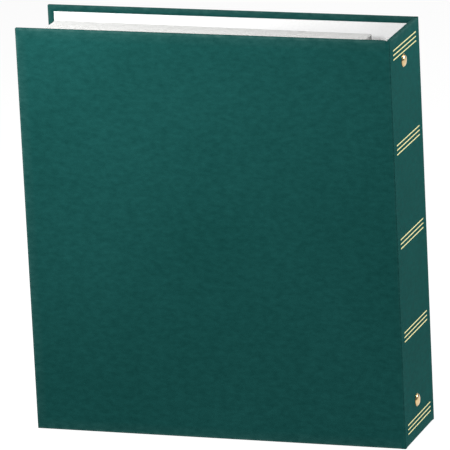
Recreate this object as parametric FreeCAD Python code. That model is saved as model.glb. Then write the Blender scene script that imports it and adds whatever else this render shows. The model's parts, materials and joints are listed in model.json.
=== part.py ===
"""A ring album for a collection: two stiff covers and a spine in leatherette,
a three-ring metal riveted to the spine, and a thick block of paper leaves.

Frame: +Z up, the album stands on its bottom edges at Z = 0.
The front cover faces -Y and the spine faces +X.  Sizes in millimetres.
"""
import FreeCAD, Part
import math
import os

from FreeCAD import Vector

# Overall size of the closed album, without the rivet heads
ALBUM_HEIGHT = 318.0
ALBUM_WIDTH = 296.0
ALBUM_THICKNESS = 76.0

# Stiff panels: board, wrapped leatherette and pasted paper
BOARD_THICKNESS = 2.2
COVERING_THICKNESS = 0.4
LINER_THICKNESS = 0.4
TURN_IN_WIDTH = 5.0
EDGE_ROUND = 0.9

# Creases between the covers and the spine
CREASE_GAP = 0.4
CREASE_LIFT = 0.5
CREASE_ROUND = 0.8

# Gold rules across the spine
RULE_SETS = 5
RULES_PER_SET = 3
RULE_WIDTH = 1.0
RULE_PITCH = 3.5
RULE_HEIGHT = 0.12
RULE_END_INSET = 13.0
RULE_FRONT_INSET = 7.6
RULE_BACK_INSET = 9.1

# Rivets that hold the ring metal
RIVET_HEAD_DIAMETER = 10.0
RIVET_HEAD_HEIGHT = 2.2
RIVET_SHANK_DIAMETER = 5.0
RIVET_FLARE_DIAMETER = 7.6
RIVET_FLARE_HEIGHT = 0.9
RIVET_TOP_INSET = 23.0
RIVET_BOTTOM_INSET = 29.0
RIVET_HOLE_CLEARANCE = 0.05

# Ring metal: arched housing, two blades, rings of bent wire in small flat facets to stay light
RING_LINE_OFFSET = -5.0
RING_COUNT = 3
RING_PITCH = 108.0
RING_TO_LINER = 3.9
RING_DEPTH = 38.0
RING_FOOT_DEPTH = 15.0
RING_FOOT_BEND = 5.0
RING_SIDE_BEND = 6.0
RING_ROD_BEND = 5.0
RING_JOINT_GAP = 0.2
WIRE_DIAMETER = 3.2
WIRE_SIDES = 12
BEND_STEPS = 5
HOUSING_WIDTH = 30.0
HOUSING_HEIGHT = 8.5
HOUSING_SIDE = 2.6
HOUSING_SHEET = 0.8
HOUSING_LIP = 2.2
HOUSING_PAST_RIVET = 13.0
BLADE_THICKNESS = 1.0
BLADE_SEAT = 0.3
BLADE_SIDE_CLEARANCE = 0.3
BLADE_SPLIT = 0.3
BLADE_PAST_RIVET = 3.6
BLADE_FOOT_OFFSET = 9.0
SLOT_CLEARANCE = 0.8

# Opening levers at both ends of the housing
LEVER_WIDTH = 10.0
LEVER_SHEET = 1.4
LEVER_HEIGHT = 20.0
LEVER_LEAN = 4.5
LEVER_HUB_RADIUS = 2.2
LEVER_PIN_DIAMETER = 2.0
LEVER_PIN_CLEARANCE = 0.05
LEVER_PIN_INSET = 4.5
LEVER_PIN_DEPTH = 4.2
LEVER_PIN_PROUD = 0.3
LEVER_NOTCH_CLEARANCE = 0.8

# Leaves, in groups that turn together
LEAF_GROUPS = 16
LEAVES_PER_GROUP = 3
LEAF_THICKNESS = 0.45
LEAF_STEP = 0.8
LEAF_TOP_INSET = 12.0
LEAF_BOTTOM_INSET = 10.0
LEAF_FORE_EDGE_INSET = 6.0
LEAF_BINDING_MARGIN = 7.0
LEAF_HOLE_WIDTH = 9.0
LEAF_HOLE_HEIGHT = 6.4
LEAF_HOLE_SHIFT = 0.3
LEAF_HANG_CLEARANCE = 0.3
BLOCK_TO_RING = 2.5
BLOCK_TO_LINER = 1.6

# Places worked out from the sizes above
PANEL_THICKNESS = BOARD_THICKNESS + 2 * COVERING_THICKNESS
LINER_FACE = COVERING_THICKNESS + BOARD_THICKNESS + LINER_THICKNESS
SPINE_FACE_X = (ALBUM_WIDTH - RIVET_HEAD_HEIGHT) / 2
FORE_EDGE_X = SPINE_FACE_X - ALBUM_WIDTH
FRONT_FACE_Y = -ALBUM_THICKNESS / 2
CREASE_WIDTH = PANEL_THICKNESS + CREASE_GAP
SEAT_X = SPINE_FACE_X - LINER_FACE
INNER_HALF = ALBUM_THICKNESS / 2 - LINER_FACE
UPPER_RIVET_Z = ALBUM_HEIGHT - RIVET_TOP_INSET
LOWER_RIVET_Z = RIVET_BOTTOM_INSET
RING_MIDDLE_Z = (UPPER_RIVET_Z + LOWER_RIVET_Z) / 2
RING_HEIGHTS = [RING_MIDDLE_Z + (i - (RING_COUNT - 1) / 2) * RING_PITCH for i in range(RING_COUNT)]
HOUSING_BOTTOM_Z = LOWER_RIVET_Z - HOUSING_PAST_RIVET
HOUSING_TOP_Z = UPPER_RIVET_Z + HOUSING_PAST_RIVET
WIRE_RADIUS = WIRE_DIAMETER / 2
RING_HALF_SPAN = INNER_HALF - RING_TO_LINER - WIRE_RADIUS
ROD_X = SEAT_X - RING_DEPTH
BLADE_BOTTOM = HOUSING_SHEET + BLADE_SEAT
BLADE_TOP = BLADE_BOTTOM + BLADE_THICKNESS
BLADE_EDGE = HOUSING_WIDTH / 2 - HOUSING_SHEET - BLADE_SIDE_CLEARANCE
BLADE_PIVOT_X = SEAT_X - (BLADE_BOTTOM + BLADE_TOP) / 2
LEVER_PIN_X = SEAT_X - LEVER_PIN_DEPTH
UPPER_PIN_Z = HOUSING_TOP_Z - LEVER_PIN_INSET
LOWER_PIN_Z = HOUSING_BOTTOM_Z + LEVER_PIN_INSET
GROUP_PITCH = 2 * (RING_HALF_SPAN - BLOCK_TO_RING) / LEAF_GROUPS
GROUP_OFFSETS = [(i - (LEAF_GROUPS - 1) / 2) * GROUP_PITCH for i in range(LEAF_GROUPS)]
GROUP_HALF_THICKNESS = ((LEAVES_PER_GROUP - 1) * LEAF_STEP + LEAF_THICKNESS) / 2
LEAF_REACH = ROD_X - FORE_EDGE_X - LEAF_FORE_EDGE_INSET
BLOCK_EDGE = GROUP_OFFSETS[-1] + GROUP_HALF_THICKNESS
FAN_ANGLE = math.degrees(math.asin((INNER_HALF - BLOCK_TO_LINER - BLOCK_EDGE) / LEAF_REACH))


def block(low, high):
    """A plain block between two opposite corners."""
    low = Vector(*low)
    size = Vector(*high) - low
    return Part.makeBox(size.x, size.y, size.z, low)


def face_of(points):
    """A flat face on straight edges."""
    return Part.Face(Part.makePolygon(points + [points[0]]))


def at_seat(height, across, z):
    """A point given by its height over the spine liner and its place across the ring line."""
    return Vector(SEAT_X - height, RING_LINE_OFFSET + across, z)


def rounded(shape, wanted):
    """Round the edges whose middle passes the test, within the covering's own wall."""
    radius = min(EDGE_ROUND, 2.2 * COVERING_THICKNESS)
    edges = [e for e in shape.Edges if wanted(e.CenterOfMass)]
    return shape.makeFillet(radius, edges)


def cover_panel(side):
    """Covering, board and liner of one cover; side is -1 for the front and 1 for the back."""
    start_x = FORE_EDGE_X
    end_x = SPINE_FACE_X - CREASE_WIDTH
    outer_y = side * ALBUM_THICKNESS / 2

    def layer(x0, x1, z0, z1, depth0, depth1):
        ys = sorted((outer_y - side * depth0, outer_y - side * depth1))
        return block((x0, ys[0], z0), (x1, ys[1], z1))

    def on_outer_edge(point):
        return abs(point.y - outer_y) < 1e-6 and point.x < end_x - 1e-6

    skin = COVERING_THICKNESS
    board_face = skin + BOARD_THICKNESS
    board = layer(start_x + skin, end_x - skin, skin, ALBUM_HEIGHT - skin, skin, board_face)
    window = (start_x + TURN_IN_WIDTH, end_x - TURN_IN_WIDTH, TURN_IN_WIDTH, ALBUM_HEIGHT - TURN_IN_WIDTH)
    liner = layer(*window, board_face, board_face + LINER_THICKNESS)
    whole = layer(start_x, end_x, 0, ALBUM_HEIGHT, 0, PANEL_THICKNESS)
    covering = rounded(whole, on_outer_edge).cut(board).cut(layer(*window, board_face, PANEL_THICKNESS))
    return covering, board, liner


def spine_panel():
    """Covering, board and liner of the spine, with the holes for the rivets."""
    start_y = FRONT_FACE_Y + CREASE_WIDTH
    end_y = -start_y

    def layer(y0, y1, z0, z1, depth0, depth1):
        return block((SPINE_FACE_X - depth1, y0, z0), (SPINE_FACE_X - depth0, y1, z1))

    def on_outer_end(point):
        at_end = point.z < 1e-6 or point.z > ALBUM_HEIGHT - 1e-6
        return at_end and abs(point.x - SPINE_FACE_X) < 1e-6

    skin = COVERING_THICKNESS
    board_face = skin + BOARD_THICKNESS
    board = layer(start_y + skin, end_y - skin, skin, ALBUM_HEIGHT - skin, skin, board_face)
    window = (start_y + TURN_IN_WIDTH, end_y - TURN_IN_WIDTH, TURN_IN_WIDTH, ALBUM_HEIGHT - TURN_IN_WIDTH)
    liner = layer(*window, board_face, board_face + LINER_THICKNESS)
    whole = layer(start_y, end_y, 0, ALBUM_HEIGHT, 0, PANEL_THICKNESS)
    covering = rounded(whole, on_outer_end).cut(board).cut(layer(*window, board_face, PANEL_THICKNESS))
    holes = rivet_holes(PANEL_THICKNESS)
    return covering.cut(holes), board.cut(holes), liner.cut(holes)


def crease(side):
    """The flexible strip round the corner from a cover to the spine."""
    outer_y = side * ALBUM_THICKNESS / 2
    inner_y = outer_y - side * COVERING_THICKNESS
    end_y = outer_y - side * CREASE_WIDTH
    start_x = SPINE_FACE_X - CREASE_WIDTH
    inner_x = SPINE_FACE_X - COVERING_THICKNESS
    outline = [
        Vector(start_x, outer_y, CREASE_LIFT),
        Vector(SPINE_FACE_X, outer_y, CREASE_LIFT),
        Vector(SPINE_FACE_X, end_y, CREASE_LIFT),
        Vector(inner_x, end_y, CREASE_LIFT),
        Vector(inner_x, inner_y, CREASE_LIFT),
        Vector(start_x, inner_y, CREASE_LIFT),
    ]
    strip = face_of(outline).extrude(Vector(0, 0, ALBUM_HEIGHT - 2 * CREASE_LIFT))

    def on_corner(point):
        return abs(point.x - SPINE_FACE_X) < 1e-6 and abs(point.y - outer_y) < 1e-6

    corner = [e for e in strip.Edges if on_corner(e.CenterOfMass)]
    return strip.makeFillet(min(CREASE_ROUND, 2 * COVERING_THICKNESS), corner)


def gold_rules():
    """Sets of thin foil lines across the spine, spread evenly up its height."""
    low_y = FRONT_FACE_Y + RULE_FRONT_INSET
    high_y = ALBUM_THICKNESS / 2 - RULE_BACK_INSET
    set_pitch = (ALBUM_HEIGHT - 2 * RULE_END_INSET) / (RULE_SETS - 1)
    rules = []
    for set_index in range(RULE_SETS):
        for line in range(RULES_PER_SET):
            step = (line - (RULES_PER_SET - 1) / 2) * RULE_PITCH
            z = RULE_END_INSET + set_index * set_pitch + step - RULE_WIDTH / 2
            low = (SPINE_FACE_X, low_y, z)
            high = (SPINE_FACE_X + RULE_HEIGHT, high_y, z + RULE_WIDTH)
            rules.append(block(low, high))
    return Part.makeCompound(rules)


def rivet_cylinder(radius, z, depth0, depth1):
    """A cylinder on a rivet's axis, between two depths below the spine's outer face."""
    start = Vector(SPINE_FACE_X - depth0, RING_LINE_OFFSET, z)
    return Part.makeCylinder(radius, depth1 - depth0, start, Vector(-1, 0, 0))


def rivet_holes(depth):
    radius = RIVET_SHANK_DIAMETER / 2 + RIVET_HOLE_CLEARANCE
    holes = [rivet_cylinder(radius, z, 0, depth) for z in (LOWER_RIVET_Z, UPPER_RIVET_Z)]
    return Part.makeCompound(holes)


def rivet(z):
    """A domed head outside, a shank through spine and housing, and a flared end inside."""
    rim = RIVET_HEAD_DIAMETER / 2
    shank = RIVET_SHANK_DIAMETER / 2
    flare = RIVET_FLARE_DIAMETER / 2
    grip = LINER_FACE + HOUSING_HEIGHT

    def at(radius, depth):
        return Vector(SPINE_FACE_X - depth, RING_LINE_OFFSET, z + radius)

    dome_radius = (rim ** 2 + RIVET_HEAD_HEIGHT ** 2) / (2 * RIVET_HEAD_HEIGHT)
    half_angle = math.asin(rim / dome_radius) / 2
    shoulder = dome_radius * math.sin(half_angle)
    shoulder_depth = dome_radius * (1 - math.cos(half_angle)) - RIVET_HEAD_HEIGHT
    dome = Part.Arc(at(0, -RIVET_HEAD_HEIGHT), at(shoulder, shoulder_depth), at(rim, 0)).toShape()
    corners = [
        at(rim, 0),
        at(shank, 0),
        at(shank, grip),
        at(flare, grip),
        at(shank, grip + RIVET_FLARE_HEIGHT),
        at(0, grip + RIVET_FLARE_HEIGHT),
        at(0, -RIVET_HEAD_HEIGHT),
    ]
    sides = [Part.LineSegment(a, b).toShape() for a, b in zip(corners, corners[1:])]
    section = Part.Face(Part.Wire([dome] + sides))
    return section.revolve(at(0, 0), Vector(1, 0, 0), 360)


def housing_section(z):
    """The housing's arched channel section, with lips under the blades."""
    edge = HOUSING_WIDTH / 2
    inner = edge - HOUSING_SHEET
    lip = edge - HOUSING_LIP
    crown = HOUSING_HEIGHT - HOUSING_SHEET
    outer_arc = Part.Arc(at_seat(HOUSING_SIDE, -edge, z), at_seat(HOUSING_HEIGHT, 0, z),
                         at_seat(HOUSING_SIDE, edge, z))
    inner_arc = Part.Arc(at_seat(HOUSING_SIDE, inner, z), at_seat(crown, 0, z),
                         at_seat(HOUSING_SIDE, -inner, z))
    right = [(HOUSING_SIDE, edge), (0, edge), (0, lip), (HOUSING_SHEET, lip), (HOUSING_SHEET, inner),
             (HOUSING_SIDE, inner)]
    left = [(height, -across) for height, across in reversed(right)]
    edges = [outer_arc.toShape()]
    for run, arc in ((right, inner_arc), (left, None)):
        points = [at_seat(height, across, z) for height, across in run]
        edges += [Part.LineSegment(a, b).toShape() for a, b in zip(points, points[1:])]
        if arc:
            edges.append(arc.toShape())
    return Part.Face(Part.Wire(edges))


def ring_housing():
    """The channel with wire slots, rivet holes, pin holes and lever notches."""
    length = HOUSING_TOP_Z - HOUSING_BOTTOM_Z
    housing = housing_section(HOUSING_BOTTOM_Z).extrude(Vector(0, 0, length))
    reach = WIRE_RADIUS + SLOT_CLEARANCE
    cuts = [rivet_holes(LINER_FACE + HOUSING_HEIGHT)]
    for z in RING_HEIGHTS:
        for side in (-1, 1):
            middle = at_seat(0, side * BLADE_FOOT_OFFSET, z)
            low = (SEAT_X - HOUSING_HEIGHT, middle.y - reach, z - reach)
            high = (SEAT_X - BLADE_TOP, middle.y + reach, z + reach)
            cuts.append(block(low, high))
    half_notch = LEVER_WIDTH / 2 + LEVER_NOTCH_CLEARANCE
    depth = LEVER_PIN_INSET + LEVER_HUB_RADIUS + LEVER_NOTCH_CLEARANCE
    for z0, z1 in ((HOUSING_BOTTOM_Z, HOUSING_BOTTOM_Z + depth), (HOUSING_TOP_Z - depth, HOUSING_TOP_Z)):
        low = (SEAT_X - HOUSING_HEIGHT, RING_LINE_OFFSET - half_notch, z0)
        high = (SEAT_X - LEVER_PIN_DEPTH, RING_LINE_OFFSET + half_notch, z1)
        cuts.append(block(low, high))
    for z in (LOWER_PIN_Z, UPPER_PIN_Z):
        cuts.append(pin_cylinder(LEVER_PIN_DIAMETER / 2 + LEVER_PIN_CLEARANCE, HOUSING_WIDTH, z))
    for cut in cuts:
        housing = housing.cut(cut)
    return housing


def blade(side):
    """One of the two long plates inside the housing, notched round the rivets."""
    ys = sorted((RING_LINE_OFFSET + side * BLADE_SPLIT / 2, RING_LINE_OFFSET + side * BLADE_EDGE))
    low = (SEAT_X - BLADE_TOP, ys[0], LOWER_RIVET_Z - BLADE_PAST_RIVET)
    high = (SEAT_X - BLADE_BOTTOM, ys[1], UPPER_RIVET_Z + BLADE_PAST_RIVET)
    plate = block(low, high)
    radius = RIVET_SHANK_DIAMETER / 2 + SLOT_CLEARANCE
    for z in (LOWER_RIVET_Z, UPPER_RIVET_Z):
        plate = plate.cut(rivet_cylinder(radius, z, 0, LINER_FACE + HOUSING_HEIGHT))
    return plate


def half_ring(side, z):
    """One bent wire from its blade, out beside the leaves and half way along the rod."""
    span = RING_HALF_SPAN - side * RING_LINE_OFFSET
    foot = BLADE_FOOT_OFFSET

    def at(height, across):
        return at_seat(height, side * across, z)

    def bend(height, across, radius, start, end):
        """Points round a quarter bend about its centre, a few degrees apart."""
        turns = [math.radians(start + (end - start) * i / BEND_STEPS) for i in range(BEND_STEPS + 1)]
        return [at(height + radius * math.sin(turn), across + radius * math.cos(turn)) for turn in turns]

    path = [at(BLADE_TOP, foot)]
    path += bend(RING_FOOT_DEPTH - RING_FOOT_BEND, foot + RING_FOOT_BEND, RING_FOOT_BEND, 180, 90)
    path += bend(RING_FOOT_DEPTH + RING_SIDE_BEND, span - RING_SIDE_BEND, RING_SIDE_BEND, -90, 0)
    path += bend(RING_DEPTH - RING_ROD_BEND, span - RING_ROD_BEND, RING_ROD_BEND, 0, 90)
    path.append(at(RING_DEPTH, RING_JOINT_GAP / 2))
    turns = [2 * math.pi * i / WIRE_SIDES for i in range(WIRE_SIDES)]
    rim = [path[0] + Vector(0, math.sin(turn), math.cos(turn)) * WIRE_RADIUS for turn in turns]
    section = Part.makePolygon(rim + [rim[0]])
    mitred = 1
    return Part.makePolygon(path).makePipeShell([section], True, False, mitred)


def pin_cylinder(radius, length, z):
    start = Vector(LEVER_PIN_X, RING_LINE_OFFSET - length / 2, z)
    return Part.makeCylinder(radius, length, start, Vector(0, 1, 0))


def pin_length():
    """The pin's ends stand a little proud of the housing's arch at the pin's height."""
    edge = HOUSING_WIDTH / 2
    rise = HOUSING_HEIGHT - HOUSING_SIDE
    arch_radius = (edge ** 2 + rise ** 2) / (2 * rise)
    drop = arch_radius - (HOUSING_HEIGHT - LEVER_PIN_DEPTH)
    return 2 * (math.sqrt(arch_radius ** 2 - drop ** 2) + LEVER_PIN_PROUD)


def lever(pin_z, outward):
    """A thumb tab that leans outward from its hub on the pin."""
    hub = pin_cylinder(LEVER_HUB_RADIUS, LEVER_WIDTH, pin_z)
    low_y = RING_LINE_OFFSET - LEVER_WIDTH / 2
    rise = LEVER_HEIGHT - LEVER_PIN_DEPTH

    def at(height, lean):
        return Vector(LEVER_PIN_X - height, low_y, pin_z + outward * lean)

    half = LEVER_SHEET / 2
    outer = Part.Arc(at(0, half), at(rise / 2, LEVER_LEAN / 4 + half), at(rise, LEVER_LEAN + half))
    tip = Part.Arc(at(rise, LEVER_LEAN + half), at(rise + half, LEVER_LEAN), at(rise, LEVER_LEAN - half))
    inner = Part.Arc(at(rise, LEVER_LEAN - half), at(rise / 2, LEVER_LEAN / 4 - half), at(0, -half))
    root = Part.LineSegment(at(0, -half), at(0, half))
    section = Part.Face(Part.Wire([e.toShape() for e in (outer, tip, inner, root)]))
    tab = section.extrude(Vector(0, LEVER_WIDTH, 0))
    bore = pin_cylinder(LEVER_PIN_DIAMETER / 2 + LEVER_PIN_CLEARANCE, HOUSING_WIDTH, pin_z)
    return hub.fuse(tab).cut(bore).removeSplitter()


def leaf_group(index):
    """A few sheets hung on the rings by square holes, leaning with their place in the block."""
    offset = GROUP_OFFSETS[index]
    lean = FAN_ANGLE * offset / GROUP_OFFSETS[-1]
    hole_x = ROD_X + LEAF_HOLE_SHIFT
    sheets = []
    for number in range(LEAVES_PER_GROUP):
        y = offset + (number - (LEAVES_PER_GROUP - 1) / 2) * LEAF_STEP
        low_y = y - LEAF_THICKNESS / 2
        high_y = y + LEAF_THICKNESS / 2
        low = (ROD_X - LEAF_REACH, low_y, LEAF_BOTTOM_INSET)
        high = (ROD_X + LEAF_BINDING_MARGIN, high_y, ALBUM_HEIGHT - LEAF_TOP_INSET)
        sheet = block(low, high)
        for z in RING_HEIGHTS:
            hole_top = z + WIRE_RADIUS + LEAF_HANG_CLEARANCE
            hole_low = (hole_x - LEAF_HOLE_WIDTH / 2, low_y, hole_top - LEAF_HOLE_HEIGHT)
            hole_high = (hole_x + LEAF_HOLE_WIDTH / 2, high_y, hole_top)
            sheet = sheet.cut(block(hole_low, hole_high))
        sheets.append(sheet)
    group = Part.makeCompound(sheets)
    group.rotate(Vector(ROD_X, offset, 0), Vector(0, 0, 1), -lean)
    return group


def all_pieces():
    """Every piece of the album by its node name."""
    pieces = {}
    for name, side in (("front", -1), ("back", 1)):
        covering, board, liner = cover_panel(side)
        pieces[name + "_covering"] = covering
        pieces[name + "_board"] = board
        pieces[name + "_liner"] = liner
        pieces[name + "_crease"] = crease(side)
        pieces[name + "_blade"] = blade(side)
        for level, z in zip(("lower", "middle", "upper"), RING_HEIGHTS):
            pieces[f"{name}_half_ring_{level}"] = half_ring(side, z)
    covering, board, liner = spine_panel()
    pieces["spine_covering"] = covering
    pieces["spine_board"] = board
    pieces["spine_liner"] = liner
    pieces["spine_gold_rules"] = gold_rules()
    pieces["spine_rivets"] = Part.makeCompound([rivet(z) for z in (LOWER_RIVET_Z, UPPER_RIVET_Z)])
    pieces["ring_housing"] = ring_housing()
    for name, pin_z, outward in (("upper", UPPER_PIN_Z, 1), ("lower", LOWER_PIN_Z, -1)):
        pieces[name + "_lever"] = lever(pin_z, outward)
        pieces[name + "_lever_pin"] = pin_cylinder(LEVER_PIN_DIAMETER / 2, pin_length(), pin_z)
    for index in range(LEAF_GROUPS):
        pieces[f"leaves_{index + 1:02d}"] = leaf_group(index)
    return pieces


def main():
    os.makedirs("parts", exist_ok=True)
    for name, shape in all_pieces().items():
        shape.exportStep(f"parts/{name}.step")
        print(name, len(shape.Solids), "solids", round(shape.Volume, 2), "mm3", shape.isValid())


if __name__ == "__main__":
    main()
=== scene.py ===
# %% [markdown]
# A ring album for a collection, closed and standing.
# The stiff parts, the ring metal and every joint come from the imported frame.
# This lesson dresses that frame: leatherette, foil, brass, nickel and paper.

# %% Load the frame
import json
import math
import bmesh
import bpy
from mathutils import Matrix, Vector


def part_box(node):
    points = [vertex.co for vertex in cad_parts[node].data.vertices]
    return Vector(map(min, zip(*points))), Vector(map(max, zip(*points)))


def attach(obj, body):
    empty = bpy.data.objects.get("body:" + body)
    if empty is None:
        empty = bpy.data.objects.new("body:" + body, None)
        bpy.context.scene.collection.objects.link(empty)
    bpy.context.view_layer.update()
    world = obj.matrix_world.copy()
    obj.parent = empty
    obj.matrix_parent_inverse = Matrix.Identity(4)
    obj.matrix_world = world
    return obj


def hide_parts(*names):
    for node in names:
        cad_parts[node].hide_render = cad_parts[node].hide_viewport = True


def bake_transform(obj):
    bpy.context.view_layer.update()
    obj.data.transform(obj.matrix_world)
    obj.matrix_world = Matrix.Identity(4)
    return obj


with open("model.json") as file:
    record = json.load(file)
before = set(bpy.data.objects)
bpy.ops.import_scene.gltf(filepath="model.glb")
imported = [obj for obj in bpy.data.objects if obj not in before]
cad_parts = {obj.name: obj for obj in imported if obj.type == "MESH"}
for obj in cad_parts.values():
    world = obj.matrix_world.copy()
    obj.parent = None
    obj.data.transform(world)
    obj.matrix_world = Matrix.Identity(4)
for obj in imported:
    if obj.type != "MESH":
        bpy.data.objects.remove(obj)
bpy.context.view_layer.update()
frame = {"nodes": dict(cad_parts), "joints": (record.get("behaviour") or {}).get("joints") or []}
MM = 0.001
spine_low, spine_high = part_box("spine_covering")
SPINE_FACE_X = spine_high.x
print("the spine is", round((spine_high.z - spine_low.z) / MM, 1), "mm high")

# %% [markdown]
# Small helpers come first, because every piece below needs them.
# A finished mesh becomes an object at the origin, with its place in its vertices.
# Most closed shapes here are rows of points, and joining each row to the next makes the skin.

# %% Helpers for meshes
def new_object(name, mesh, finish, smooth=True):
    """A named object at the origin with one finish."""
    made = bpy.data.objects.new(name, mesh)
    bpy.context.scene.collection.objects.link(made)
    mesh.materials.clear()
    mesh.materials.append(finish)
    if smooth:
        mesh.shade_smooth()
    return made


def place(piece, body, slot, *nodes):
    """Put a finished piece on its body, in place of the plain nodes. The slot is not used."""
    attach(piece, body)
    if nodes:
        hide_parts(*nodes)


def quarter_turn(steps):
    """The angles of a quarter turn, in equal steps."""
    return [math.radians(90 * step / steps) for step in range(steps + 1)]


def skin(shape, rows):
    """Join rows of points. A row of one point is a tip, and any other end row gets a cap."""
    count = max(len(row) for row in rows)
    for first, second in zip(rows, rows[1:]):
        for i in range(count):
            ways = ((first, i), (first, i + 1), (second, i + 1), (second, i))
            corners = [row[j % len(row)] for row, j in ways]
            shape.faces.new(list(dict.fromkeys(corners)))
    for end in (rows[0], rows[-1]):
        if len(end) > 1:
            shape.faces.new(end)


def finished_mesh(name, shape):
    """Turn a closed shape's faces outwards and keep it as a mesh."""
    bmesh.ops.recalc_face_normals(shape, faces=shape.faces)
    mesh = bpy.data.meshes.new(name)
    shape.to_mesh(mesh)
    shape.free()
    return mesh


# %% [markdown]
# What repeats on the album is grown by Geometry Nodes: rules, rivets, sheets and ring wire.
# Each tree has a named input for each size, so one tree serves every piece of its kind.
# The result is kept as a plain mesh, because a finished piece carries no live tree.

# %% Helpers for node trees
def node(tree, kind, **settings):
    """A node with its own settings and its unlinked inputs filled in."""
    made = tree.nodes.new(kind)
    inputs = settings.pop("inputs", {})
    for key, value in settings.items():
        setattr(made, key, value)
    for key, value in inputs.items():
        made.inputs[key].default_value = value
    return made


def feed(tree, value, socket):
    """Link another node's output to an input, or set the input to a plain value."""
    if isinstance(value, bpy.types.NodeSocket):
        tree.links.new(value, socket)
    else:
        socket.default_value = value


def combine(tree, operation, first, second):
    """A sum, product or the like of two values."""
    made = node(tree, "ShaderNodeMath", operation=operation)
    feed(tree, first, made.inputs[0])
    feed(tree, second, made.inputs[1])
    return made.outputs[0]


def geometry_tree(name, sizes):
    """An empty geometry tree with a named input for each size."""
    tree = bpy.data.node_groups.new(name, "GeometryNodeTree")
    face = tree.interface
    face.new_socket("Geometry", in_out="INPUT", socket_type="NodeSocketGeometry")
    face.new_socket("Geometry", in_out="OUTPUT", socket_type="NodeSocketGeometry")
    for label, value in sizes.items():
        kind = "NodeSocketInt" if isinstance(value, int) else "NodeSocketFloat"
        face.new_socket(label, in_out="INPUT", socket_type=kind)
    return tree, tree.nodes.new("NodeGroupInput"), tree.nodes.new("NodeGroupOutput")


def repeat(tree, shape, count, axis, pitch):
    """Copies of a shape in a row along one axis."""
    step = tree.nodes.new("ShaderNodeCombineXYZ")
    feed(tree, pitch, step.inputs[axis])
    row = tree.nodes.new("GeometryNodeMeshLine")
    feed(tree, count, row.inputs["Count"])
    tree.links.new(step.outputs[0], row.inputs["Offset"])
    copies = tree.nodes.new("GeometryNodeInstanceOnPoints")
    tree.links.new(row.outputs[0], copies.inputs["Points"])
    tree.links.new(shape, copies.inputs["Instance"])
    return copies.outputs[0]


def sweep(tree, path, section):
    """A section carried along a path, with closed ends."""
    bar = node(tree, "GeometryNodeCurveToMesh", inputs={"Fill Caps": True})
    tree.links.new(path, bar.inputs["Curve"])
    tree.links.new(section, bar.inputs["Profile Curve"])
    return bar.outputs[0]


def finish_tree(tree, last, output, finish):
    """Close a tree with Realize Instances and Set Material."""
    realize = tree.nodes.new("GeometryNodeRealizeInstances")
    paint = node(tree, "GeometryNodeSetMaterial", inputs={"Material": finish})
    tree.links.new(last, realize.inputs[0])
    tree.links.new(realize.outputs[0], paint.inputs["Geometry"])
    tree.links.new(paint.outputs[0], output.inputs[0])


def grow(name, tree, sizes, finish, start_mesh=None):
    """Run a geometry tree with these sizes and keep the result as a plain mesh."""
    source = bpy.data.objects.new(name + "_source", start_mesh or bpy.data.meshes.new(name + "_source"))
    bpy.context.scene.collection.objects.link(source)
    modifier = source.modifiers.new("grow", "NODES")
    modifier.node_group = tree
    for item in tree.interface.items_tree:
        if item.in_out == "INPUT" and item.name in sizes:
            modifier[item.identifier] = sizes[item.name]
    evaluated = source.evaluated_get(bpy.context.evaluated_depsgraph_get())
    mesh = bpy.data.meshes.new_from_object(evaluated)
    source.modifiers.remove(modifier)
    bpy.data.objects.remove(source)
    mesh.name = name
    print(name, "has", len(mesh.polygons), "faces")
    return new_object(name, mesh, finish)


# %% [markdown]
# Camera: the album is seen from the right and a little above.
# A long lens from far away keeps the cover's edges almost parallel, as they are in the photograph.

# %% Camera
CAMERA_AZIMUTH = math.radians(19.0)
CAMERA_ELEVATION = math.radians(16.0)
CAMERA_ROLL = math.radians(-2.8)
CAMERA_DISTANCE = 4.5
CAMERA_LENS = 473.0
CAMERA_TARGET = Vector((-0.0018, 0.0, 0.1588))


def aimed(location, target):
    """A place and turn that looks from a location at a target."""
    turn = (target - location).to_track_quat("-Z", "Y").to_matrix().to_4x4()
    return Matrix.Translation(location) @ turn


camera_data = bpy.data.cameras.new("camera")
camera_data.lens = CAMERA_LENS
camera = bpy.data.objects.new("camera", camera_data)
bpy.context.scene.collection.objects.link(camera)
level_reach = CAMERA_DISTANCE * math.cos(CAMERA_ELEVATION)
from_target = Vector((math.sin(CAMERA_AZIMUTH) * level_reach, -math.cos(CAMERA_AZIMUTH) * level_reach,
                      CAMERA_DISTANCE * math.sin(CAMERA_ELEVATION)))
level_view = aimed(CAMERA_TARGET + from_target, CAMERA_TARGET)
camera.matrix_world = level_view @ Matrix.Rotation(CAMERA_ROLL, 4, "Z")
bpy.context.scene.camera = camera
print("the camera stands", CAMERA_DISTANCE, "m away")

# %% [markdown]
# Light and floor: the album stands on a glowing white table, so its ground stays white.
# A near lamp up on the left, with a small one close to the corner, makes the cover
# brightest at its upper left.
# A lamp high on the right lights the spine and puts a glint on the rivets.
# Another, on the far left, keeps the paper's fore-edge light for a viewer who walks round.

# %% Light and floor
WORLD_STRENGTH = 0.18
FLOOR_HALF = 6.0
FLOOR_TONE = 0.12
FLOOR_ROUGHNESS = 0.9
FLOOR_GLOW = 0.92
WHITE = (1.0, 1.0, 1.0, 1.0)


def soft_lamp(name, stands, lights, size, power):
    """A square area lamp that stands at one spot and lights another."""
    data = bpy.data.lights.new(name, "AREA")
    data.size = size
    data.energy = power
    lamp = bpy.data.objects.new(name, data)
    bpy.context.scene.collection.objects.link(lamp)
    lamp.matrix_world = aimed(Vector(stands), Vector(lights))


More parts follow.
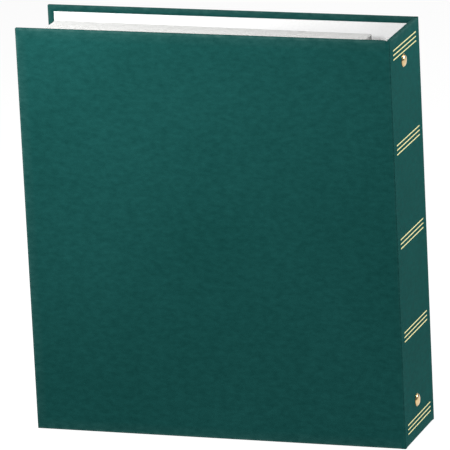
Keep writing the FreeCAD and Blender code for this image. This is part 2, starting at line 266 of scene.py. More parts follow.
soft_lamp("key", stands=(-0.20, -0.44, 0.62), lights=(-0.05, 0.0, 0.27), size=0.35, power=4.7)
soft_lamp("corner_lamp", stands=(-0.22, -0.20, 0.46), lights=(-0.13, -0.04, 0.31), size=0.10, power=0.30)
soft_lamp("spine_lamp", stands=(0.80, 0.35, 0.62), lights=(0.15, 0.0, 0.15), size=0.35, power=8.7)
soft_lamp("fore_edge_lamp", stands=(-0.95, 0.30, 0.40), lights=(-0.14, 0.0, 0.16), size=0.4, power=6.0)

world = bpy.data.worlds.new("studio")
bpy.context.scene.world = world
bpy.context.scene.view_settings.view_transform = "Standard"
world.use_nodes = True
background = world.node_tree.nodes["Background"]
background.inputs["Color"].default_value = WHITE
background.inputs["Strength"].default_value = WORLD_STRENGTH

floor_mesh = bpy.data.meshes.new("floor")
floor_corners = [(-FLOOR_HALF, -FLOOR_HALF, 0), (FLOOR_HALF, -FLOOR_HALF, 0),
                 (FLOOR_HALF, FLOOR_HALF, 0), (-FLOOR_HALF, FLOOR_HALF, 0)]
floor_mesh.from_pydata(floor_corners, [], [(0, 1, 2, 3)])
floor_paint = bpy.data.materials.new("floor_paint")
floor_paint.use_nodes = True
floor_shader = floor_paint.node_tree.nodes["Principled BSDF"]
floor_shader.inputs["Base Color"].default_value = (FLOOR_TONE, FLOOR_TONE, FLOOR_TONE, 1.0)
floor_shader.inputs["Roughness"].default_value = FLOOR_ROUGHNESS
floor_shader.inputs["Emission Color"].default_value = WHITE
floor_shader.inputs["Emission Strength"].default_value = FLOOR_GLOW
new_object("floor", floor_mesh, floor_paint, smooth=False)
print(len(bpy.data.lights), "lamps and a floor", 2 * FLOOR_HALF, "m wide")

# %% [markdown]
# Finishes are node trees too. These helpers each add one step to such a tree.
# All patterns read Object coordinates, so they keep their real size on every piece.

# %% Helpers for finishes
NOISE_RANGE = (0.3, 0.7)


def new_finish(name):
    """A finish with its node tree, its shader and the place of each point."""
    made = bpy.data.materials.new(name)
    made.use_nodes = True
    tree = made.node_tree
    where = tree.nodes.new("ShaderNodeTexCoord").outputs["Object"]
    return made, tree, tree.nodes["Principled BSDF"], where


def noise(tree, coordinates, scale, detail, roughness):
    """Cloudy noise between 0 and 1, which seldom leaves NOISE_RANGE."""
    inputs = {"Scale": scale, "Detail": detail, "Roughness": roughness}
    made = node(tree, "ShaderNodeTexNoise", inputs=inputs)
    tree.links.new(coordinates, made.inputs["Vector"])
    return made.outputs["Fac"]


def ramp(tree, value, crossed, first, second):
    """A colour that goes from the first to the second while a value crosses a range."""
    made = tree.nodes.new("ShaderNodeValToRGB")
    for element, position, colour in zip(made.color_ramp.elements, crossed, (first, second)):
        element.position = position
        element.color = (*colour, 1.0)
    tree.links.new(value, made.inputs["Fac"])
    return made.outputs["Color"]


def spread(tree, value, crossed, result):
    """Map a value from the range that it crosses to another."""
    inputs = {"From Min": crossed[0], "From Max": crossed[1], "To Min": result[0], "To Max": result[1]}
    made = node(tree, "ShaderNodeMapRange", inputs=inputs)
    tree.links.new(value, made.inputs["Value"])
    return made.outputs["Result"]


def add_bump(tree, shader, height, strength, distance):
    """Tilt the surface by a height pattern."""
    made = node(tree, "ShaderNodeBump", inputs={"Strength": strength, "Distance": distance})
    tree.links.new(height, made.inputs["Height"])
    tree.links.new(made.outputs["Normal"], shader.inputs["Normal"])


def mix_colour(tree, share, first, second, blend_type="MIX"):
    """Two colours mixed by a share. The numbers are the mix node's colour sockets."""
    made = node(tree, "ShaderNodeMix", data_type="RGBA", blend_type=blend_type)
    feed(tree, share, made.inputs[0])
    feed(tree, first, made.inputs[6])
    feed(tree, second, made.inputs[7])
    return made.outputs[2]


# %% [markdown]
# Leatherette is cloth with a coat of green, pressed with a fine pebbled grain.
# A picture of real cloth could be wrapped on, but noise needs no picture and has no seams.
# Wide clouds and a fine mottle vary the green, and the edges are paler: partly wear where hands rub, partly
# a painted highlight along the rounded edge.

# %% Leatherette
CLOUD_SCALE = 9.0
MOTTLE_SCALE = 300.0
MOTTLE_STRETCH = (0.55, 0.55, 1.0)
MOTTLE_RANGE = (0.25, 0.75)
PEBBLE_SCALE = 950.0
PEBBLE_SMOOTHNESS = 0.6
FOLD_SCALE = 420.0
GRAIN_STRENGTH = 0.22
GRAIN_DEPTH = 0.22 * MM
DARK_GREEN = (0.0062, 0.0522, 0.0475)
LIGHT_GREEN = (0.0076, 0.0592, 0.0545)
MOTTLE_DARK = (0.72, 0.80, 0.80)
MOTTLE_LIGHT = (1.20, 1.16, 1.16)
# The paler edge green is partly wear and partly a painted highlight on the rounded edge.
WORN_AND_HIGHLIGHT_GREEN = (0.05, 0.11, 0.10, 1.0)
WORN_AND_HIGHLIGHT_RANGE = (0.35, 0.7)
WORN_AND_HIGHLIGHT_SHARES = (0.15, 0.55)
LEATHERETTE_ROUGHNESS = (0.52, 0.66)
LEATHERETTE_GLOSS = 0.004


def leatherette():
    """Dark green coated cloth: fine pebbled grain, faint clouds, edges paler with wear and a painted
    highlight.
    """
    made, tree, shader, where = new_finish("leatherette")
    along = node(tree, "ShaderNodeMapping", vector_type="POINT", inputs={"Scale": MOTTLE_STRETCH})
    tree.links.new(where, along.inputs["Vector"])
    clouds = noise(tree, where, CLOUD_SCALE, detail=2.0, roughness=0.55)
    mottle = noise(tree, along.outputs["Vector"], MOTTLE_SCALE, detail=4.0, roughness=0.65)
    green = ramp(tree, clouds, NOISE_RANGE, DARK_GREEN, LIGHT_GREEN)
    tone = ramp(tree, mottle, MOTTLE_RANGE, MOTTLE_DARK, MOTTLE_LIGHT)
    cloth = mix_colour(tree, 1.0, green, tone, "MULTIPLY")
    rub_and_edge_highlight = node(tree, "ShaderNodeAttribute", attribute_name="rub_and_edge_highlight")
    # The rounded edges are mixed towards a paler green: partly wear, partly a painted highlight.
    patchy = spread(tree, mottle, WORN_AND_HIGHLIGHT_RANGE, WORN_AND_HIGHLIGHT_SHARES)
    rubbed_and_highlit = combine(tree, "MULTIPLY", rub_and_edge_highlight.outputs["Fac"], patchy)
    tree.links.new(mix_colour(tree, rubbed_and_highlit, cloth, WORN_AND_HIGHLIGHT_GREEN), shader.inputs["Base Color"])
    pebble = node(tree, "ShaderNodeTexVoronoi", feature="SMOOTH_F1",
                  inputs={"Scale": PEBBLE_SCALE, "Smoothness": PEBBLE_SMOOTHNESS})
    tree.links.new(where, pebble.inputs["Vector"])
    folds = noise(tree, where, FOLD_SCALE, detail=3.0, roughness=0.6)
    grain = combine(tree, "ADD", pebble.outputs["Distance"], folds)
    add_bump(tree, shader, grain, GRAIN_STRENGTH, GRAIN_DEPTH)
    tree.links.new(spread(tree, mottle, NOISE_RANGE, LEATHERETTE_ROUGHNESS), shader.inputs["Roughness"])
    shader.inputs["Specular IOR Level"].default_value = LEATHERETTE_GLOSS
    return made


LEATHERETTE = leatherette()
print(LEATHERETTE.name, "has", len(LEATHERETTE.node_tree.nodes), "nodes")

# %% [markdown]
# Paper is the liner inside the covers and the leaves, and the boards are grey pressed paper.
# All are dry and near flat in colour, so one function with faint fibres makes each of them.
# The faces where the sheets are cut, which the "cut" attribute marks, are painted grey as shade for the gaps
# between the sheets.

# %% Paper and board
FIBRE_STRENGTH = 0.12
FIBRE_DEPTH = 0.05 * MM
FIBRE_ROUGHNESS = 0.05


def paper(name, pale, dark, fibre_scale, roughness, cut_edge_shade=None):
    """Uncoated paper: faint fibres, a dry surface and, for leaves, cut edges painted grey as shade."""
    made, tree, shader, where = new_finish(name)
    fibres = noise(tree, where, fibre_scale, detail=5.0, roughness=0.7)
    tone = ramp(tree, fibres, NOISE_RANGE, dark, pale)
    if cut_edge_shade:
        # The cut edges get a painted shade: a grey for the gaps between the sheets.
        cut = node(tree, "ShaderNodeAttribute", attribute_name="cut")
        tone = mix_colour(tree, cut.outputs["Fac"], tone, (*cut_edge_shade, 1.0))
    tree.links.new(tone, shader.inputs["Base Color"])
    add_bump(tree, shader, fibres, FIBRE_STRENGTH, FIBRE_DEPTH)
    dryness = (roughness - FIBRE_ROUGHNESS, roughness + FIBRE_ROUGHNESS)
    tree.links.new(spread(tree, fibres, NOISE_RANGE, dryness), shader.inputs["Roughness"])
    return made


LINER_PAPER = paper("liner_paper", pale=(0.80, 0.80, 0.80), dark=(0.75, 0.75, 0.75),
                    fibre_scale=900.0, roughness=0.6)
# The leaves' cut edges are painted grey as shade.
LEAF_PAPER = paper("leaf_paper", pale=(0.70, 0.70, 0.69), dark=(0.65, 0.65, 0.64),
                   fibre_scale=700.0, roughness=0.75, cut_edge_shade=(0.42, 0.42, 0.41))
GREY_BOARD = paper("grey_board", pale=(0.42, 0.40, 0.36), dark=(0.33, 0.31, 0.28),
                   fibre_scale=500.0, roughness=0.85)
print("papers:", LINER_PAPER.name, LEAF_PAPER.name, GREY_BOARD.name)

# %% [markdown]
# The metals are hot foil on the spine, brass rivets, and nickel and bare steel inside.
# They differ in colour and polish only, so they share one function as well.

# %% Metals
POLISH_STRENGTH = 0.06
POLISH_DEPTH = 0.04 * MM
POLISH_ROUGHNESS = 0.12


def plated_metal(name, pale, dark, polish_scale, roughness):
    """Bright metal with a cloudy polish and fine rub marks."""
    made, tree, shader, where = new_finish(name)
    polish = noise(tree, where, polish_scale, detail=4.0, roughness=0.6)
    tree.links.new(ramp(tree, polish, NOISE_RANGE, dark, pale), shader.inputs["Base Color"])
    shader.inputs["Metallic"].default_value = 1.0
    dullness = (roughness, roughness + POLISH_ROUGHNESS)
    tree.links.new(spread(tree, polish, NOISE_RANGE, dullness), shader.inputs["Roughness"])
    add_bump(tree, shader, polish, POLISH_STRENGTH, POLISH_DEPTH)
    return made


GOLD_FOIL = plated_metal("gold_foil", pale=(0.86, 0.82, 0.42), dark=(0.76, 0.70, 0.32),
                         polish_scale=500.0, roughness=0.36)
BRASS = plated_metal("brass", pale=(0.77, 0.58, 0.32), dark=(0.58, 0.41, 0.20),
                     polish_scale=260.0, roughness=0.16)
NICKEL = plated_metal("nickel", pale=(0.72, 0.71, 0.69), dark=(0.60, 0.59, 0.57),
                      polish_scale=300.0, roughness=0.14)
PIN_STEEL = plated_metal("pin_steel", pale=(0.56, 0.56, 0.57), dark=(0.44, 0.44, 0.45),
                         polish_scale=400.0, roughness=0.28)
print("metals:", GOLD_FOIL.name, BRASS.name, NICKEL.name, PIN_STEEL.name)

# %% [markdown]
# Each stiff panel is board wrapped in leatherette, with the edges turned in on the inside.
# One outline runs round the panel, and a profile carries it over the edge and into the turn-in.
# Rings of points joined by faces are short to write and give clean mitred corners.
# On the sides that meet a crease the outline hardly draws in, so the leatherette runs on.

# %% Covers and spine
EDGE_ROUND = 0.85 * MM
INNER_EDGE_ROUND = EDGE_ROUND / 2
CORNER_ROUND = 0.6 * MM
SMALLEST_CORNER = 0.02 * MM
TURN_IN = 5.0 * MM
TURN_IN_THICKNESS = 0.4 * MM
TURN_IN_BEVEL = 0.6 * MM
TURN_IN_LIP = 0.1 * MM
TURN_IN_LIP_DROP = 0.08 * MM
# These shares paint the edges paler: partly wear, partly a painted highlight that reaches onto the face.
RUB_AND_HIGHLIGHT_FADES_OUT = 9.0 * MM
RUB_AND_HIGHLIGHT_STARTS = 2.2 * MM
FACE_RUB_AND_HIGHLIGHT = 0.3
EDGE_RUB_AND_HIGHLIGHT = 1.0
INNER_EDGE_RUB = 0.8
LIP_RUB = 0.2
CREASE_SHARE = 0.02
CORNER_STEPS = 5
EDGE_STEPS = 5
LEATHERETTE_SHARP = math.radians(40)


def panel_profile(depth):
    """Points over the panel's edge: distance in from the edge, depth, and its share of wear and painted
    highlight.
    """
    points = [(RUB_AND_HIGHLIGHT_FADES_OUT, 0.0, 0.0), (RUB_AND_HIGHLIGHT_STARTS, 0.0, FACE_RUB_AND_HIGHLIGHT)]
    for turn in quarter_turn(EDGE_STEPS):
        points.append((EDGE_ROUND * (1 - math.sin(turn)), EDGE_ROUND * (1 - math.cos(turn)), EDGE_RUB_AND_HIGHLIGHT))
    for turn in quarter_turn(EDGE_STEPS):
        inset = INNER_EDGE_ROUND * (1 - math.cos(turn))
        points.append((inset, depth - INNER_EDGE_ROUND * (1 - math.sin(turn)), INNER_EDGE_RUB))
    points.append((TURN_IN - TURN_IN_BEVEL, depth, 0.0))
    points.append((TURN_IN - TURN_IN_LIP, depth - TURN_IN_LIP_DROP, LIP_RUB))
    points.append((TURN_IN, depth - TURN_IN_THICKNESS, 0.0))
    return points


def panel_ring(start, end, inset, shares):
    """A rounded rectangle, drawn in from each side by its own share of the inset."""
    x0, x1 = start[0] + inset * shares[0], end[0] - inset * shares[1]
    z0, z1 = start[1] + inset, end[1] - inset
    ring = []
    for cx, cz, first in ((x1, z0, 270), (x1, z1, 0), (x0, z1, 90), (x0, z0, 180)):
        side = -1 if cx == x1 else 1
        rise = 1 if cz == z0 else -1
        share = shares[1] if cx == x1 else shares[0]
        radius = max(CORNER_ROUND * share - inset, SMALLEST_CORNER)
        for turn in quarter_turn(CORNER_STEPS):
            angle = math.radians(first) + turn
            ring.append((cx + radius * (side + math.cos(angle)), cz + radius * (rise + math.sin(angle))))
    return ring


def wrapped_panel(name, start, end, depth, to_frame, shares):
    """A closed leatherette panel with a shallow recess for its liner."""
    shape = bmesh.new()
    rub_and_edge_highlight = shape.verts.layers.float.new("rub_and_edge_highlight")
    rings = []
    for inset, deep, wear_and_highlight in panel_profile(depth):
        outer = deep < depth / 2
        ring = []
        for across, z in panel_ring(start, end, inset, shares if outer else (1.0, 1.0)):
            point = shape.verts.new(to_frame(across, deep, z))
            # Each point keeps its share of wear and painted edge highlight.
            point[rub_and_edge_highlight] = wear_and_highlight
            ring.append(point)
        rings.append(ring)
    skin(shape, rings)
    piece = new_object(name, finished_mesh(name, shape), LEATHERETTE)
    piece.data.set_sharp_from_angle(angle=LEATHERETTE_SHARP)
    print(name, "is", round(depth / MM, 2), "mm thick")
    return piece


def dress_cover(side, facing):
    """The covering of the front (facing -1) or back cover (facing 1)."""
    lowest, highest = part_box(f"{side}_covering")
    depth = highest.y - lowest.y
    face_y = lowest.y if facing < 0 else highest.y

    def to_frame(across, deep, z):
        return (across, face_y - facing * deep, z)

    piece = wrapped_panel(f"{side}_cover_leatherette", (lowest.x, lowest.z), (highest.x, highest.z), depth,
                          to_frame, (1.0, CREASE_SHARE))
    place(piece, f"{side}_cover", "leatherette", f"{side}_covering")


def dress_spine():
    """The covering of the spine, which meets a crease on both sides."""
    def to_frame(across, deep, z):
        return (SPINE_FACE_X - deep, across, z)

    piece = wrapped_panel("spine_leatherette", (spine_low.y, spine_low.z), (spine_high.y, spine_high.z),
                          spine_high.x - spine_low.x, to_frame, (CREASE_SHARE, CREASE_SHARE))
    place(piece, "spine", "leatherette", "spine_covering")


dress_cover("front", -1)
dress_cover("back", 1)
dress_spine()

# %% [markdown]
# The crease is the bare leatherette between two boards, which bends each time the album opens.
# Here it is one still strip that rides on neither body, drawn with many steps round the corner and up the
# strip.

# %% Creases
CREASE_STEPS = 10
CREASE_RISES = 24
CREASE_CORNER = 0.8 * MM
CREASE_SHEET = 0.4 * MM
CREASE_PAST_END = 0.35 * MM
CREASE_RUB = 0.15
SPINE_POINTS = 2


def crease_line(inner_y, outer_y, end_x, facing, offset):
    """Points from the spine round the outer corner to the cover, a sheet's offset inside."""
    centre = Vector((SPINE_FACE_X - CREASE_CORNER, outer_y - facing * CREASE_CORNER))
    radius = CREASE_CORNER - offset
    on_spine = SPINE_FACE_X - offset
    line = [Vector((on_spine, inner_y)), Vector((on_spine, (inner_y + centre.y) / 2))]
    for turn in quarter_turn(CREASE_STEPS):
        line.append(centre + Vector((radius * math.cos(turn), facing * radius * math.sin(turn))))
    line.append(Vector(((end_x + centre.x) / 2, outer_y - facing * offset)))
    line.append(Vector((end_x, outer_y - facing * offset)))
    return line


def dress_crease(side, facing):
    """The strip at the crease between the spine and the front (facing -1) or back cover (facing 1)."""
    box_low, box_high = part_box(f"{side}_crease")
    inner_y = box_high.y if facing < 0 else box_low.y
    outer_y = box_low.y if facing < 0 else box_high.y
    outline = crease_line(inner_y, outer_y, box_low.x, facing, 0.0)
    outline += list(reversed(crease_line(inner_y, outer_y, box_low.x, facing, CREASE_SHEET)))
    bottom = box_low.z - CREASE_PAST_END
    top = box_high.z + CREASE_PAST_END
    shape = bmesh.new()
    rub_and_edge_highlight = shape.verts.layers.float.new("rub_and_edge_highlight")
    rows = []
    for rise in range(CREASE_RISES + 1):
        z = bottom + (top - bottom) * rise / CREASE_RISES
        row = [shape.verts.new((point.x, point.y, z)) for point in outline]
        for point in row[SPINE_POINTS:SPINE_POINTS + CREASE_STEPS + 1]:
            point[rub_and_edge_highlight] = CREASE_RUB
        rows.append(row)
    skin(shape, rows)
    name = f"{side}_crease_strip"
    piece = new_object(name, finished_mesh(name, shape), LEATHERETTE)
    piece.data.set_sharp_from_angle(angle=LEATHERETTE_SHARP)
    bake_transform(piece)
    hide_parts(f"{side}_crease")
    print(name, "has", len(piece.data.polygons), "faces")


dress_crease("front", -1)
dress_crease("back", 1)

# %% [markdown]
# Gold rules: thin foil pressed into the spine, five sets of three lines.
# Fifteen boxes could be drawn one by one, but the lines follow two pitches.
# So a geometry tree sweeps one flat line, repeats it in a set, and repeats the set up the spine.

# %% Gold rules
rule_low, rule_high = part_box("spine_gold_rules")
RULE_WIDTH = 1.0 * MM
RULE_PITCH = 3.5 * MM
RULE_SETS = 5
RULES_PER_SET = 3
RULE_SOFTNESS = 0.04 * MM
RULE_THICKNESS = rule_high.x - SPINE_FACE_X
SET_HEIGHT = RULE_WIDTH + RULE_PITCH * (RULES_PER_SET - 1)
SET_PITCH = (rule_high.z - rule_low.z - SET_HEIGHT) / (RULE_SETS - 1)
rule_sizes = {"Length": rule_high.y - rule_low.y, "Width": RULE_WIDTH, "Thickness": RULE_THICKNESS,
              "Line Pitch": RULE_PITCH, "Set Pitch": SET_PITCH, "Lines": RULES_PER_SET, "Sets": RULE_SETS}


def rules_tree():
    """A swept foil line, in sets, up the spine."""
    tree, source, output = geometry_tree("foil_rules", rule_sizes)
    link = tree.links.new
    run = tree.nodes.new("GeometryNodeCurvePrimitiveLine")
    far_end = tree.nodes.new("ShaderNodeCombineXYZ")
    link(source.outputs["Length"], far_end.inputs["Y"])
    link(far_end.outputs[0], run.inputs["End"])
    section = tree.nodes.new("GeometryNodeCurvePrimitiveQuadrilateral")
    link(source.outputs["Thickness"], section.inputs["Width"])
    link(source.outputs["Width"], section.inputs["Height"])
    soft = node(tree, "GeometryNodeFilletCurve", inputs={"Radius": RULE_SOFTNESS})
    link(section.outputs[0], soft.inputs["Curve"])
    line = sweep(tree, run.outputs[0], soft.outputs[0])
    one_set = repeat(tree, line, source.outputs["Lines"], "Z", source.outputs["Line Pitch"])
    all_sets = repeat(tree, one_set, source.outputs["Sets"], "Z", source.outputs["Set Pitch"])
    finish_tree(tree, all_sets, output, GOLD_FOIL)
    return tree


rules = grow("gold_rules", rules_tree(), rule_sizes, GOLD_FOIL)
first_line = Vector((SPINE_FACE_X + RULE_THICKNESS / 2, rule_low.y, rule_low.z + RULE_WIDTH / 2))
rules.data.transform(Matrix.Translation(first_line))
rules.data.shade_flat()
place(rules, "spine", "gold_foil", "spine_gold_rules")

# %% [markdown]
# Rivets: a turned dome with a thin rim outside, and a shank flared over the housing inside.
# One profile is turned about the rivet's axis, and a geometry tree sets it at both places.

# %% Rivets
rivet_low, rivet_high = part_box("spine_rivets")
RIVET_RIM = (rivet_high.y - rivet_low.y) / 2
RIVET_RIM_HEIGHT = 0.28 * MM
RIVET_HEIGHT = rivet_high.x - SPINE_FACE_X
RIVET_SHANK = 2.5 * MM
RIVET_FLARE = 3.8 * MM
RIVET_FLARE_HEIGHT = 0.9 * MM
RIVET_SIDES = 48
DOME_RADIUS = 0.94 * RIVET_RIM
DOME_FOOT = 0.35 * MM
DOME_STEPS = 10
ON_AXIS = 1e-7
METAL_SHARP = math.radians(50)
rivet_middle_y = (rivet_low.y + rivet_high.y) / 2


def rivet_profile():
    """Radius and height points from the dome's top to the flared end."""
    dome = []
    for turn in quarter_turn(DOME_STEPS):
        height = DOME_FOOT + (RIVET_HEIGHT - DOME_FOOT) * math.cos(turn)
        dome.append((DOME_RADIUS * math.sin(turn), height))
    inside = rivet_low.x - SPINE_FACE_X
    flare = inside + RIVET_FLARE_HEIGHT
    rim = [(RIVET_RIM, RIVET_RIM_HEIGHT), (RIVET_RIM, 0.0), (RIVET_SHANK, 0.0)]
    end = [(RIVET_SHANK, flare), (RIVET_FLARE, flare), (RIVET_SHANK, inside), (0.0, inside)]
    return dome + rim + end


def turned(name, profile, sides):
    """A closed form turned about X."""
    shape = bmesh.new()
    turns = [2 * math.pi * i / sides for i in range(sides)]
    rows = []
    for radius, height in profile:
        around = turns if radius > ON_AXIS else [0.0]
        rows.append([shape.verts.new((height, radius * math.cos(t), radius * math.sin(t))) for t in around])
    skin(shape, rows)
    return finished_mesh(name, shape)


def pair_tree():
    """The shape given, set at two places up the spine."""
    tree, source, output = geometry_tree("rivet_pair", {"Spacing": 0.0})
    pair = repeat(tree, source.outputs["Geometry"], 2, "Z", source.outputs["Spacing"])
    finish_tree(tree, pair, output, BRASS)
    return tree


rivet_spacing = {"Spacing": rivet_high.z - rivet_low.z - 2 * RIVET_RIM}
rivets = grow("rivets", pair_tree(), rivet_spacing, BRASS, turned("rivet", rivet_profile(), RIVET_SIDES))
rivets.data.transform(Matrix.Translation((SPINE_FACE_X, rivet_middle_y, rivet_low.z + RIVET_RIM)))
rivets.data.shade_smooth()
rivets.data.set_sharp_from_angle(angle=METAL_SHARP)
place(rivets, "spine", "brass", "spine_rivets")

# %% [markdown]
# Leaves: a thick block of paper sheets, hung on the rings by square holes.
# The sheets lie close at the rings and spread a little towards the fore-edge, as handled leaves do.
# First one sheet is cut with its holes. Its rows and columns leave points for it to wave by.

# %% One sheet
SHEET_THICKNESS = 0.26 * MM
HOLE_WIDTH = 9.0 * MM
HOLE_HEIGHT = 6.4 * MM
HOLE_SHIFT = 0.3 * MM
HANG = 0.3 * MM
SHEET_COLUMNS = 9
SHEET_ROWS = 4
leaf_joints = {joint["child"]: joint for joint in frame["joints"] if joint["child"].startswith("leaves_")}
leaf_names = sorted(leaf_joints)
leaf_low, leaf_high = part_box(leaf_names[0])
ROD_X = leaf_joints[leaf_names[0]]["pos_m"][0]
MARGIN = leaf_high.x - ROD_X
REACH = ROD_X - leaf_low.x
RING_LEVELS = ("lower", "middle", "upper")
ring_boxes = [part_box(f"front_half_ring_{level}") for level in RING_LEVELS]
ring_heights = [(box_low.z + box_high.z) / 2 for box_low, box_high in ring_boxes]
WIRE_RADIUS = (ring_boxes[0][1].z - ring_boxes[0][0].z) / 2
print(len(leaf_names), "groups of leaves reach", round(REACH / MM, 1), "mm from the rings")


def sheet_mesh():
    """One flat sheet round its ring line, as a thin closed slab with square holes."""
    hole_x0 = HOLE_SHIFT - HOLE_WIDTH / 2
    hole_x1 = HOLE_SHIFT + HOLE_WIDTH / 2
    xs = [-REACH + (hole_x0 + REACH) * i / SHEET_COLUMNS for i in range(SHEET_COLUMNS + 1)]
    xs += [hole_x1, MARGIN]
    hole_tops = [z + WIRE_RADIUS + HANG for z in ring_heights]
    zs = [leaf_low.z]
    hole_rows = set()
    for top in hole_tops + [None]:
        last = zs[-1]
        paper_end = leaf_high.z if top is None else top - HOLE_HEIGHT
        zs += [last + (paper_end - last) * (i + 1) / SHEET_ROWS for i in range(SHEET_ROWS)]
        if top is not None:
            hole_rows.add(len(zs) - 1)
            zs.append(top)
    cells = {(row, column) for row in range(len(zs) - 1) for column in range(len(xs) - 1)}
    cells -= {(row, SHEET_COLUMNS) for row in hole_rows}
    shape = bmesh.new()
    cut = shape.faces.layers.float.new("cut")
    half = SHEET_THICKNESS / 2
    front, back = ([[shape.verts.new((x, y, z)) for x in xs] for z in zs] for y in (-half, half))
    for row, column in sorted(cells):
        corners = ((row, column), (row, column + 1), (row + 1, column + 1), (row + 1, column))
        shape.faces.new([front[r][c] for r, c in corners])
        shape.faces.new([back[r][c] for r, c in corners])
        beside = ((row - 1, column), (row, column + 1), (row + 1, column), (row, column - 1))
        for side, neighbour in enumerate(beside):
            if neighbour in cells:
                continue
            (r0, c0), (r1, c1) = corners[side], corners[(side + 1) % len(corners)]
            edge = shape.faces.new((front[r0][c0], front[r1][c1], back[r1][c1], back[r0][c0]))
            edge[cut] = 1.0
    return finished_mesh("sheet", shape)


# %% [markdown]
# A geometry tree then copies the sheet into a group, spreads the copies and waves each a little.
# The spread and the wave grow with the distance from the rings, so the holes stay in line.
# Each group rides on its own turning body, so the leaves fan out when a cover opens.

# %% Groups of leaves
SHEETS_PER_GROUP = 7
GROUP_THICKNESS = 2.05 * MM
FORE_EDGE_THICKNESS = 3.8 * MM
RING_STEP = (GROUP_THICKNESS - SHEET_THICKNESS) / (SHEETS_PER_GROUP - 1)
FORE_EDGE_STEP = (FORE_EDGE_THICKNESS - SHEET_THICKNESS) / (SHEETS_PER_GROUP - 1)
WAVE = 0.22 * MM
WAVE_SCALE = 9.0
WAVE_SHEET_STEP = 0.35
WAVE_GROUP_STEP = 3.1
leaf_sizes = {"Sheets": SHEETS_PER_GROUP, "Ring Step": RING_STEP, "Spread": FORE_EDGE_STEP - RING_STEP,
              "Wave": WAVE, "Reach": REACH, "Seed": 0.0}


def leaves_tree():
    """Copies of a sheet that spread and wave with their distance from the rings."""
    tree, source, output = geometry_tree("leaf_group", leaf_sizes)
    link = tree.links.new
    size = source.outputs
    copies = repeat(tree, size["Geometry"], size["Sheets"], "Y", size["Ring Step"])
    number = node(tree, "GeometryNodeStoreNamedAttribute", domain="INSTANCE", data_type="FLOAT",
                  inputs={"Name": "sheet"})
    link(copies, number.inputs["Geometry"])
    link(tree.nodes.new("GeometryNodeInputIndex").outputs[0], number.inputs["Value"])
    realize = tree.nodes.new("GeometryNodeRealizeInstances")
    link(number.outputs[0], realize.inputs[0])
    named = node(tree, "GeometryNodeInputNamedAttribute", data_type="FLOAT", inputs={"Name": "sheet"})
    sheet = named.outputs["Attribute"]
    middle = combine(tree, "MULTIPLY", combine(tree, "SUBTRACT", size["Sheets"], 1.0), 0.5)
    from_middle = combine(tree, "SUBTRACT", sheet, middle)
    where = tree.nodes.new("GeometryNodeInputPosition")
    split = tree.nodes.new("ShaderNodeSeparateXYZ")
    link(where.outputs[0], split.inputs[0])
    away = combine(tree, "DIVIDE", combine(tree, "MULTIPLY", split.outputs["X"], -1.0), size["Reach"])
    away = combine(tree, "MAXIMUM", away, 0.0)
    lean = combine(tree, "MULTIPLY", combine(tree, "MULTIPLY", from_middle, size["Spread"]), away)
    centring = combine(tree, "MULTIPLY", combine(tree, "MULTIPLY", middle, size["Ring Step"]), -1.0)
    ripple = node(tree, "ShaderNodeTexNoise", noise_dimensions="4D",
                  inputs={"Scale": WAVE_SCALE, "Detail": 1.0})
    link(where.outputs[0], ripple.inputs["Vector"])
    own_part = combine(tree, "ADD", combine(tree, "MULTIPLY", sheet, WAVE_SHEET_STEP), size["Seed"])
    link(own_part, ripple.inputs["W"])
    wave = combine(tree, "MULTIPLY", combine(tree, "SUBTRACT", ripple.outputs["Fac"], 0.5), size["Wave"])
    shift = combine(tree, "ADD", combine(tree, "ADD", lean, centring), combine(tree, "MULTIPLY", wave, away))
    offset = tree.nodes.new("ShaderNodeCombineXYZ")
    link(shift, offset.inputs["Y"])
    moved = tree.nodes.new("GeometryNodeSetPosition")
    link(realize.outputs[0], moved.inputs["Geometry"])
    link(offset.outputs[0], moved.inputs["Offset"])
    finish_tree(tree, moved.outputs[0], output, LEAF_PAPER)
    return tree


def dress_leaves(name, tree, index):
    """One group of sheets on its own turning body."""
    box_low, box_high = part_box(name)
    pivot_y = leaf_joints[name]["pos_m"][1]
    outer = box_low.y if pivot_y < 0 else box_high.y
    half = GROUP_THICKNESS / 2 * (1 if pivot_y > 0 else -1)
    lean = math.asin((outer - half - pivot_y) / REACH)
    sizes = {**leaf_sizes, "Seed": WAVE_GROUP_STEP * index}
    group = grow(name + "_sheets", tree, sizes, LEAF_PAPER, sheet_mesh())
    group.data.transform(Matrix.Translation((ROD_X, pivot_y, 0)) @ Matrix.Rotation(-lean, 4, "Z"))
    group.data.shade_flat()
    place(group, name, "leaf_paper", name)


group_tree = leaves_tree()
for index, leaf_name in enumerate(leaf_names):
    dress_leaves(leaf_name, group_tree, index)

# %% [markdown]
# Half rings: bent nickel wire, so each is a path with rounded corners and a round section.
# The path's corners come from the frame: the blade, the ring's reach, its side and its joint.

# %% Half rings
BEND_RADIUS = 5.3 * MM
BEND_STEPS = 10
FOOT_OFFSET = 9.0 * MM
FOOT_DEPTH = 15.0 * MM
WIRE_SIDES = 20
wire_sizes = {"Bend": BEND_RADIUS, "Radius": WIRE_RADIUS}
foot_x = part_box("spine_liner")[0].x - FOOT_DEPTH


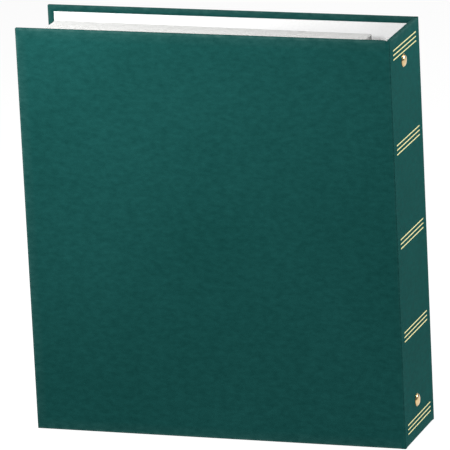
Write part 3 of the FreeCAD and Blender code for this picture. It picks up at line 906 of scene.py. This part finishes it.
def wire_tree():
    """A path given as loose edges, rounded at its corners and swept with a round section."""
    tree, source, output = geometry_tree("bent_wire", wire_sizes)
    link = tree.links.new
    path = tree.nodes.new("GeometryNodeMeshToCurve")
    link(source.outputs["Geometry"], path.inputs["Mesh"])
    soft = node(tree, "GeometryNodeFilletCurve", mode="POLY",
                inputs={"Count": BEND_STEPS, "Limit Radius": True})
    link(path.outputs[0], soft.inputs["Curve"])
    link(source.outputs["Bend"], soft.inputs["Radius"])
    section = node(tree, "GeometryNodeCurvePrimitiveCircle", inputs={"Resolution": WIRE_SIDES})
    link(source.outputs["Radius"], section.inputs["Radius"])
    finish_tree(tree, sweep(tree, soft.outputs[0], section.outputs[0]), output, NICKEL)
    return tree


def dress_half_ring(side, facing, level, tree):
    """One bent wire on the front (facing -1) or back blade (facing 1)."""
    name = f"{side}_half_ring_{level}"
    box_low, box_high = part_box(name)
    blade_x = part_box(f"{side}_blade")[0].x
    z = (box_low.z + box_high.z) / 2
    side_y = box_low.y + WIRE_RADIUS if facing < 0 else box_high.y - WIRE_RADIUS
    joint_y = box_high.y if facing < 0 else box_low.y
    foot_y = rivet_middle_y + facing * FOOT_OFFSET
    corners = [(blade_x, foot_y, z), (foot_x, foot_y, z), (foot_x, side_y, z), (ROD_X, side_y, z),
               (ROD_X, joint_y, z)]
    path = bpy.data.meshes.new(name + "_path")
    path.from_pydata(corners, [(i, i + 1) for i in range(len(corners) - 1)], [])
    ring = grow(f"{name}_wire", tree, wire_sizes, NICKEL, path)
    ring.data.set_sharp_from_angle(angle=METAL_SHARP)
    place(ring, f"{side}_rings", "ring_steel", name)


wire = wire_tree()
for ring_side, ring_facing in (("front", -1), ("back", 1)):
    for ring_level in RING_LEVELS:
        dress_half_ring(ring_side, ring_facing, ring_level, wire)

# %% [markdown]
# The rest of the frame has its right shape already, so it only takes its finish.

# %% Finishes on the frame's own pieces
FINISHES = {
    LINER_PAPER: ("front_liner", "back_liner", "spine_liner"),
    GREY_BOARD: ("front_board", "back_board", "spine_board"),
    NICKEL: ("ring_housing", "front_blade", "back_blade", "upper_lever", "lower_lever"),
    PIN_STEEL: ("upper_lever_pin", "lower_lever_pin"),
}
for finish, names in FINISHES.items():
    for name in names:
        for material_slot in frame["nodes"][name].material_slots:
            material_slot.material = finish
    print(finish.name, "on", len(names), "pieces")
